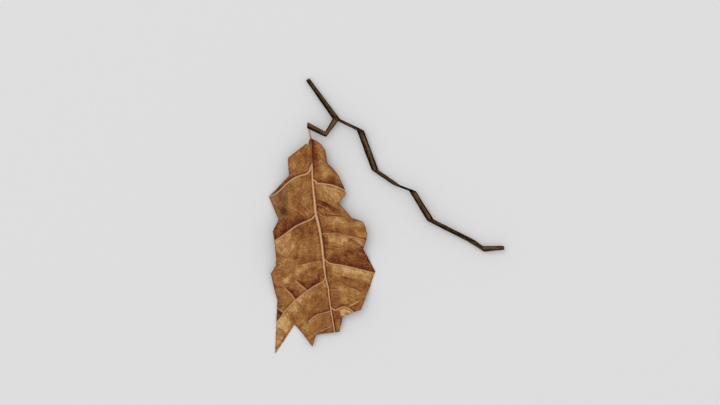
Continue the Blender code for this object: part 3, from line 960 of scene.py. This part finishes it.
    def tear_edge(self, blade: bpy.types.Object) -> None:
        """Makes the margin slightly ragged, as a dry leaf's is: bumps of 1.6 mm with finer ones of 0.6 mm.

        Args:
            blade: The flat blade.
        """
        places = vertices(blade)
        used: dict[tuple[int, int], int] = {}
        for face in blade.data.polygons:
            for key in face.edge_keys:
                used[key] = used.get(key, 0) + 1
        edge = sorted({index for key, count in used.items() if count == 1 for index in key})
        flat = places[edge] / MM
        for axis, (seed, finer_seed) in enumerate(((1, 2), (3, 4))):
            places[edge, axis] += self.tear * MM * (rough(flat, 1.6, seed) + 0.5 * rough(flat, 0.6, finer_seed))
        move_vertices(blade, places)

    def aside(self, flat: np.ndarray) -> np.ndarray:
        """Returns how far each flat place is to the right of the midrib."""
        return flat[:, 0] - np.interp(-flat[:, 1], -self.spine[:, 1], self.spine[:, 0])

    def leaf_space(self, flat: np.ndarray) -> np.ndarray:
        """Measures places along the way the side veins run, for the net of small veins between them.

        Args:
            flat: The places, in millimetres.

        Returns:
            For each place how far out along a side vein it is, and where that vein leaves the midrib.
        """
        aside = self.aside(flat)
        origin = flat[:, 1].copy()
        for _ in range(4):
            left, right = (np.interp(-origin, *slopes) for slopes in self.slopes)
            slope = np.where(aside < 0, left, right)
            origin = flat[:, 1] + slope * np.abs(aside)
        return np.stack([aside * np.sqrt(1 + slope**2), origin, np.zeros(len(flat))], axis=1)

    def draw_vein(self, skin: Skin, vein: Vein, line: np.ndarray) -> None:
        """Raises a side vein and paints shade and light on the blade beside it.

        Args:
            skin: The blade's upward side.
            vein: The vein.
            line: Its smooth line.
        """
        track = Track(line, skin.flat)
        width = np.interp(track.share, (0, 1), vein.width)
        form = bell(track.away, self.form * width)
        skin.ridge = np.maximum(skin.ridge, self.side_rise * width * form)
        skin.pale = np.maximum(skin.pale, vein.pale * form)
        skin.nearest = np.minimum(skin.nearest, track.away + 6.0 * (1 - vein.pale))
        tipward = np.where(track.way[:, 0] < 0, track.right < 0, track.right > 0)
        ends = bell(track.past, 3.0)
        grows = (vein.start + (1 - vein.start) * track.share) * ends
        # The bands of painted shade, towards the base, and painted light, towards the tip
        for (strength, extent), side in ((vein.above, ~tipward), (vein.below, tipward)):
            skin.tone += np.where(side, strength * grows * bell(track.away, extent, 3), 0.0)
        # Painted shade: a dark line along the ridge's foot, half as strong on the side towards the tip
        foot = bell(track.away - self.foot * width, 0.45)
        skin.tone -= 0.22 * vein.pale * ends * np.where(tipward, 0.5, 1.0) * foot

    def draw_midrib(self, skin: Skin) -> None:
        """Raises the midrib, which the stalk hides at its start, and paints shade along both its feet, twice as dark
        on its right.

        Args:
            skin: The blade's upward side.
        """
        away, share, _ = reach(self.spine, skin.flat)
        width = np.interp(share, *zip(*self.midrib_widths))
        shown = np.interp(share, (0, 0.11, 0.16, 1), (0.0, 0.05, 1.0, 1.0))
        skin.ridge = np.maximum(skin.ridge, self.midrib_rise * width * bell(away, self.form * width))
        skin.pale = np.maximum(skin.pale, shown * bell(away, 0.52 * width, 3))
        skin.nearest = np.minimum(skin.nearest, away)
        # Painted shade along the midrib's feet, twice as dark on its right side
        skin.tone += np.where(self.aside(skin.flat) > 0, -0.5, -0.25) * bell(away - self.foot * width, 0.6)

    def brown(self, skin: Skin) -> None:
        """Lays the patches, with wavy outlines, and darkens the margin.

        Args:
            skin: The blade's upward side.
        """
        wavy = skin.flat + 0.6 * np.column_stack([rough(skin.flat, 2.2, seed) for seed in (7, 8)])
        for patch in self.patches:
            cover = patch.cover(wavy)
            skin.tone += patch.tone * cover
            skin.olive += patch.olive * cover
        rim = reach(np.array((*self.margin, self.margin[0])), skin.flat)[0]
        skin.tone -= 0.16 * bell(rim, 0.7)

    def press_fold(self, skin: Skin, crease: Crease) -> None:
        """Lifts one side of a fold, paints shade on the other and paints a pale highlight along its ridge.

        Args:
            skin: The blade's upward side.
            crease: The fold.
        """
        track = Track(smooth_line(np.array(crease.line)), skin.flat)
        ends = bell(track.past, 0.8)
        skin.fold += crease.step * ends * bell(track.away, 4.0) * (0.5 - 0.5 * np.tanh(track.right / 0.4))
        skin.tone += np.where(track.right > 0, crease.shadow * ends * bell(track.away, crease.reach), 0.0)
        skin.pale = np.maximum(skin.pale, crease.pale * ends * bell(track.right + 0.25, 0.4) * (track.away < 1))

    def shape(self, blade: bpy.types.Object) -> None:
        """Curls the blade, raises its veins and folds, and works out how each place has browned and where shade and
        light are painted on it.

        Args:
            blade: The flat blade with its thickness, its upward face's vertices first.
        """
        places = vertices(blade)
        half = len(places) // 2
        flat = places[:half, :2] / MM
        skin = Skin(flat, self.own_tone)
        for vein, line in zip(self.veins, self.vein_lines):
            self.draw_vein(skin, vein, line)
        self.draw_midrib(skin)
        self.brown(skin)
        for crease in self.creases:
            self.press_fold(skin, crease)
        ripple = 0.32 * rough(flat, 9.0, 5) + 0.12 * rough(flat, 3.5, 6)
        sunk = self.sink * (1 - bell(skin.nearest, 5.0, 1.5))
        height = self.curl.height(*flat.T, self.aside(flat)) + self.lift + ripple + skin.fold - sunk
        height = self.lowest + 0.5 * (height - self.lowest + np.hypot(height - self.lowest, 0.5))
        places[:half, 2] = (height + skin.ridge) * MM
        places[half:, 2] = (height - self.thickness + 0.12 * np.minimum(skin.ridge, 0.5)) * MM
        places[half:, :2] = places[:half, :2]
        move_vertices(blade, places + np.array(BASE) * MM)
        # The side that faces the table is darker and more even, and its veins hardly show
        store(blade, "tone", np.concatenate([skin.tone, skin.tone * 0.5 + 0.18]))
        store(blade, "olive", np.tile(skin.olive, 2))
        store(blade, "vein", np.concatenate([skin.pale, skin.pale * 0.35]))
        store(blade, "leaf_space", np.tile(self.leaf_space(flat), (2, 1)))


# The stalk and the twig


@dataclass
class Stalk:
    """The short leaf stalk, from its foot in the spur to where it sinks into the midrib.

    Attributes:
        line: The points of its middle line.
        widths: Its widths, evenly along it.
        roundness: How many cuts divide each quarter of its round.
    """

    line: tuple[Place, ...] = (
        (-1.35, 6.9, 5.9), (-1.2, 5.9, 5.75), (-1.1, 4.6, 5.6), (-0.9, 3.0, 5.6), (-0.5, 1.4, 5.6),
        (-0.3, 0.0, 5.6), (0.0, -2.0, 5.5), (0.2, -4.5, 5.7),
    )
    widths: Row = (1.9, 1.5, 1.15, 1.0, 1.05, 1.2, 1.2, 0.8)
    roundness: int = 5

    def build(self) -> bpy.types.Object:
        """Builds the stalk.

        Returns:
            The finished stalk.
        """
        points = smooth_line(np.array(self.line), 0.4)
        stalk = self.grow(points)
        places = vertices(stalk) / MM - np.array(BASE)
        along = reach(points, places)[1]
        # Dark at its foot, and darker still where it sinks into the blade
        worn = np.interp(along, (0, 0.12, 0.3, 0.5, 0.62, 1.0), (0.5, 0.1, 0.0, 0.1, 0.5, 0.7))
        store(stalk, "grown", np.column_stack([along * 20.0, places[:, 0], places[:, 2]]))
        store(stalk, "worn", worn)
        dress(stalk, 50, DryStalk())
        return stalk

    def grow(self, points: np.ndarray) -> bpy.types.Object:
        """Runs a round bar of changing width through points.

        Args:
            points: The points, one row each.

        Returns:
            The bar as a closed mesh.
        """
        widths = np.interp(np.linspace(0, 1, len(points)), np.linspace(0, 1, len(self.widths)), self.widths)
        curve = bpy.data.curves.new("leaf_stalk", "CURVE")
        curve.dimensions = "3D"
        curve.bevel_depth = MM
        curve.bevel_resolution = self.roundness
        curve.use_fill_caps = True
        spline = curve.splines.new("POLY")
        spline.points.add(len(points) - 1)
        for knot, place, width in zip(spline.points, points, widths):
            knot.co = (*((Vector(place) + BASE) * MM), 1.0)
            knot.radius = width / 2
        made = bpy.data.objects.new("leaf_stalk", curve)
        bpy.context.scene.collection.objects.link(made)
        select_only(made)
        bpy.ops.object.convert(target="MESH")
        with edit_mode():
            bpy.ops.mesh.remove_doubles(threshold=0.001 * MM)
            bpy.ops.mesh.normals_make_consistent(inside=False)
        return bpy.context.object


@dataclass(frozen=True)
class Knee:
    """A slice across a growth, where it turns or ends.

    Attributes:
        left: Where its left edge is, seen from above and along the growth.
        right: Where its right edge is.
        height: How high its middle lies.
        thick: How thick it is there, from top to bottom.
    """

    left: Point
    right: Point
    height: float
    thick: float


@dataclass
class Limb:
    """A straight-sided growth from knee to knee, as old oak twigs zigzag from bud to bud."""

    name: str
    knees: tuple[Knee, ...]
    sides: int = 24

    def edges(self) -> tuple[np.ndarray, np.ndarray]:
        """Returns the left and the right ends of every slice."""
        left = np.array([(*knee.left, knee.height) for knee in self.knees])
        return left, np.array([(*knee.right, knee.height) for knee in self.knees])

    def line(self) -> np.ndarray:
        """Returns the limb's middle line."""
        left, right = self.edges()
        return (left + right) / 2

    def build(self) -> bpy.types.Object:
        """Builds the limb.

        Returns:
            The limb as a closed mesh.
        """
        bpy.ops.object.select_all(action="DESELECT")
        bpy.ops.mesh.primitive_circle_add(vertices=self.sides, radius=1.0, fill_type="NGON")
        made = bpy.context.object
        made.name = self.name
        with edit_mode():
            for _ in self.knees[1:]:
                bpy.ops.mesh.extrude_region_move(TRANSFORM_OT_translate={"value": (0.0, 0.0, 1.0)})
        round_bar = vertices(made)
        layer = np.rint(round_bar[:, 2]).astype(int)
        left, right = self.edges()
        thick = np.array([(0.0, 0.0, knee.thick) for knee in self.knees])
        places = self.line()[layer]
        places += round_bar[:, :1] * (right - left)[layer] / 2 + round_bar[:, 1:2] * thick[layer] / 2
        move_vertices(made, (places + np.array(BASE)) * MM)
        with edit_mode():
            bpy.ops.mesh.normals_make_consistent(inside=False)
        return made


@dataclass(frozen=True)
class Streak:
    """A stretch of bark that is lighter, or darker, than the rest.

    Attributes:
        line: Its middle line, seen from above.
        tone: How much lighter it is.
        width: How far it goes to each side.
    """

    line: Line
    tone: float
    width: float = 0.55


@dataclass
class Twig:
    """The zigzag twig with its spur, both ends snapped.

    The stem's knees start at its short end and the spur's at the stem. A pore's size is how far it goes along
    the growth and across it, and end_reach is how far from an end's middle its broken face goes.
    """

    stem: tuple[Knee, ...] = (
        Knee((-1.3, 39.5), (-3.4, 38.0), 1.3, 2.3),
        Knee((18.9, 12.7), (14.0, 12.8), 3.6, 3.3),
        Knee((19.0, 12.6), (17.6, 11.1), 3.6, 2.4),
        Knee((34.8, 5.0), (30.1, 5.1), 3.4, 3.1),
        Knee((44.4, -21.1), (39.8, -21.0), 1.7, 3.2),
        Knee((58.5, -30.9), (54.0, -30.8), 3.6, 2.3),
        Knee((69.0, -35.0), (64.5, -34.9), 4.4, 2.7),
        Knee((80.7, -53.5), (76.5, -54.6), 3.9, 3.3),
        Knee((108.0, -67.4), (103.7, -68.4), 2.1, 2.9),
        Knee((113.0, -71.2), (114.1, -75.0), 1.8, 3.0),
        Knee((127.2, -71.0), (127.3, -73.6), 3.4, 2.5),
    )
    spur: tuple[Knee, ...] = (
        Knee((18.2, 11.9), (14.5, 13.6), 3.6, 3.1),
        Knee((9.7, 0.6), (9.3, 4.3), 4.6, 3.2),
        Knee((-2.8, 6.5), (-2.3, 10.5), 6.4, 3.3),
    )
    streaks: tuple[Streak, ...] = (
        # Along the short end
        Streak(((-1.8, 36.8), (13.8, 13.9)), -0.30, 0.6),
        Streak(((3.6, 31.4), (16.2, 15.5)), 0.28, 0.6),
        Streak(((-1.0, 36.6), (1.8, 33.0)), 0.12, 0.6),
        Streak(((2.2, 34.2), (18.2, 13.2)), -0.20, 0.4),
        # Along the spur
        Streak(((15.8, 11.0), (10.2, 2.9)), 0.32, 1.0),
        Streak(((16.8, 10.6), (10.6, 1.8)), -0.20, 0.4),
        Streak(((9.0, 3.6), (-1.6, 8.6)), 0.30, 0.6),
        Streak(((8.8, 1.7), (-2.2, 7.0)), -0.30, 0.6),
        # From the fork to the long end, knee by knee
        Streak(((19.7, 11.5), (31.2, 6.0)), 0.10, 0.4),
        Streak(((34.6, 3.4), (38.2, -5.6)), -0.35, 0.6),
        Streak(((33.6, 3.4), (37.0, -5.0), (42.0, -20.5)), 0.28, 0.7),
        Streak(((32.3, 3.6), (34.4, -2.6)), 0.12, 0.4),
        Streak(((31.2, 3.6), (40.4, -20.4)), -0.30),
        Streak(((43.8, -22.0), (56.5, -30.7)), 0.14, 0.6),
        Streak(((41.2, -21.9), (54.2, -30.6)), -0.35, 0.5),
        Streak(((58.7, -32.0), (66.7, -35.0)), -0.25, 1.0),
        Streak(((68.6, -36.4), (72.8, -43.0), (78.4, -53.0)), 0.28, 0.65),
        Streak(((71.4, -39.8), (79.8, -53.1)), -0.35, 0.5),
        Streak(((65.4, -35.8), (76.4, -53.6)), -0.30, 0.5),
        Streak(((83.0, -55.3), (93.8, -61.2)), 0.12, 0.7),
        Streak(((80.2, -56.0), (98.6, -65.2)), -0.35, 0.55),
        Streak(((96.6, -62.3), (107.7, -67.8)), -0.35, 0.5),
        Streak(((106.0, -68.8), (112.2, -72.9)), 0.15, 0.5),
        Streak(((114.0, -72.2), (123.2, -72.8)), 0.32, 0.65),
    )
    voxel: float = 0.2
    pores: int = 150
    pore_size: Point = (0.45, 0.22)
    end_reach: float = 2.4
    table_gap: float = 0.03

    def build(self) -> bpy.types.Object:
        """Builds the twig.

        Returns:
            The finished twig.
        """
        stem, side = Limb("twig_with_spur", self.stem), Limb("spur", self.spur)
        twig, spur = stem.build(), side.build()
        select_only(twig)
        spur.select_set(True)
        bpy.ops.object.join()
        blend = twig.modifiers.new("grown together", "REMESH")
        blend.mode = "VOXEL"
        blend.voxel_size = self.voxel * MM
        soften = twig.modifiers.new("softened", "SMOOTH")
        soften.iterations = 2
        soften.factor = 0.5
        apply_modifiers(twig)
        broken = self.grow_bark(twig, stem.line(), side.line())
        dress(twig, 60, YoungBark(), SnappedWood())
        snapped = [all(broken[index] for index in face.vertices) for face in twig.data.polygons]
        twig.data.polygons.foreach_set("material_index", np.array(snapped, np.int32))
        return twig

    def grow_bark(self, twig: bpy.types.Object, stem: np.ndarray, spur: np.ndarray) -> np.ndarray:
        """Gives the bark its wrinkles and pores, and splinters the snapped ends.

        Args:
            twig: The smooth twig.
            stem: The stem's middle line, in millimetres.
            spur: The spur's middle line, in millimetres.

        Returns:
            Whether each vertex is on a snapped end.
        """
        places = vertices(twig) / MM - np.array(BASE)
        normals = np.empty(len(places) * 3, np.float32)
        twig.data.vertices.foreach_get("normal", normals)
        normals = normals.reshape(-1, 3).astype(float)
        on_stem, stem_share, stem_way = reach(stem, places)
        on_spur, spur_share, spur_way = reach(spur, places)
        # How far along the growth each place is; the spur's count starts beyond the stem's
        of_spur = on_spur < on_stem
        along = np.where(of_spur, 300.0 + spur_share * 26.0, stem_share * 186.0)
        way = np.where(of_spur[:, None], spur_way, stem_way)
        around = normals - dot(normals, way)[:, None] * way
        around /= np.maximum(np.linalg.norm(around, axis=1), 1e-6)[:, None]
        # Wrinkles stretched ninefold along the growth, five flutes that wind a little, and lumps of 3 mm
        grown = np.column_stack([along / 9.0, around[:, 0] * 2.2, around[:, 2] * 2.2 + around[:, 1] * 2.2])
        angle = np.arctan2(dot(around, np.cross(way, (0, 0, 1.0))), around[:, 2])
        flute = np.cos(5 * angle + 1.2 * rough(grown, 2.5, 15))
        wrinkle = rough(grown, 0.8, 11) * 0.07 + rough(grown, 0.35, 12) * 0.04 + flute * 0.04
        lumps = rough(places, 3.0, 13) * 0.10
        pore = self.scatter_pores(places, way)
        ends = [stem[0], stem[-1], spur[-1]]
        at_end = np.min([np.linalg.norm(places - end, axis=1) for end in ends], axis=0) < self.end_reach
        broken = at_end & (np.abs(dot(normals, way)) > 0.75)
        # Painted light: the top of the twig is made lighter and its underside darker, on top of the tone of its
        # wrinkles
        worn = wrinkle * 0.9 + 0.08 * around[:, 2]
        for streak in self.streaks:
            worn += streak.tone * bell(reach(np.array(streak.line), places[:, :2])[0], streak.width)
        move = (wrinkle + lumps + pore * 0.08)[:, None] * normals
        splinter = (rough(places, 0.7, 14) * 0.35)[:, None] * way
        places = places + np.where(broken[:, None], splinter, move)
        places[:, 2] = np.maximum(places[:, 2], self.table_gap - BASE.z)
        move_vertices(twig, (places + np.array(BASE)) * MM)
        store(twig, "grown", np.column_stack([along, around[:, 0] * 1.5, (around[:, 2] + around[:, 1]) * 1.5]))
        store(twig, "pore", pore * 0.75)
        store(twig, "worn", worn)
        return broken

    def scatter_pores(self, places: np.ndarray, way: np.ndarray) -> np.ndarray:
        """Scatters the bark's pores, always in the same places.

        Args:
            places: The twig's vertices, in millimetres.
            way: The growth's way at each of them.

        Returns:
            How much of a pore each vertex is, from 0 to 1.
        """
        length, breadth = self.pore_size
        rng = np.random.default_rng(7)
        pore = np.zeros(len(places))
        for index in rng.integers(0, len(places), self.pores):
            aside = places - places[index]
            run = np.einsum("ij,j->i", aside, way[index])
            spot = np.exp(-((run / length) ** 2) - (np.linalg.norm(aside, axis=1) ** 2 - run**2) / breadth**2)
            pore = np.maximum(pore, spot)
        return pore


# The studio


@dataclass
class Studio:
    """The plain pale table, the soft light over it and the camera that looks straight down, all in metres.

    The width is how much of the table the camera sees, and the centre is the middle of that.
    """

    table: float = 6.0
    width: float = 0.4752
    centre: Point = (-0.0175, 0.0086)
    height: float = 5.2
    sensor: float = 36.0
    lamp_size: float = 6.4
    lamp_power: float = 108.0
    lamp_place: Place = (-1.6, 1.8, 6.0)
    room_light: float = 0.89

    def build(self) -> None:
        """Sets up the table, the lights and the camera."""
        self.lay_table()
        self.hang_lights()
        self.set_camera()

    def lay_table(self) -> None:
        """Lays the table's top, matt and even."""
        bpy.ops.object.select_all(action="DESELECT")
        bpy.ops.mesh.primitive_plane_add(size=self.table)
        table = bpy.context.object
        table.name = "table_top"
        table.data.materials.append(MattPaint().make())

    def hang_lights(self) -> None:
        """Hangs one broad light over the leaf's upper left, and fills the rest with even light."""
        lamp = bpy.data.lights.new("softbox", "AREA")
        lamp.shape = "DISK"
        lamp.size = self.lamp_size
        lamp.energy = self.lamp_power
        box = bpy.data.objects.new("softbox", lamp)
        bpy.context.scene.collection.objects.link(box)
        box.location = self.lamp_place
        box.rotation_euler = (-box.location).to_track_quat("-Z", "Y").to_euler()
        world = bpy.data.worlds.new("room")
        world.use_nodes = True
        background = world.node_tree.nodes["Background"]
        background.inputs["Color"].default_value = (1.0, 1.0, 1.0, 1.0)
        background.inputs["Strength"].default_value = self.room_light
        bpy.context.scene.world = world
        bpy.context.scene.view_settings.view_transform = "Standard"

    def set_camera(self) -> None:
        """Puts the camera over the table, looking straight down, with the twig's short end up."""
        data = bpy.data.cameras.new("camera")
        data.sensor_width = self.sensor
        data.lens = self.sensor * self.height / self.width
        camera = bpy.data.objects.new("camera", data)
        bpy.context.scene.collection.objects.link(camera)
        camera.location = (*self.centre, self.height)
        bpy.context.scene.camera = camera


def put_in_place(piece: bpy.types.Object, role: Role, *nodes: str) -> None:
    """Puts a finished piece on the part.

    Args:
        piece: The piece.
        role: What its finish is for; not used.
        nodes: The part's own solids that it stands for.
    """
    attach(piece, BODY)
    if nodes:
        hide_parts(*nodes)
    LOG.info("%s: %d vertices", piece.name, len(piece.data.vertices))


def main() -> None:
    """Builds the leaf, the twig and the studio, in that order."""
    logging.basicConfig(level=logging.INFO, format="%(name)s %(message)s")
    put_in_place(Blade().build(), Role.LEAF, "leaf")
    put_in_place(Stalk().build(), Role.LEAF)
    put_in_place(Twig().build(), Role.TWIG, "twig")
    Studio().build()


if __name__ == "__main__":
    main()
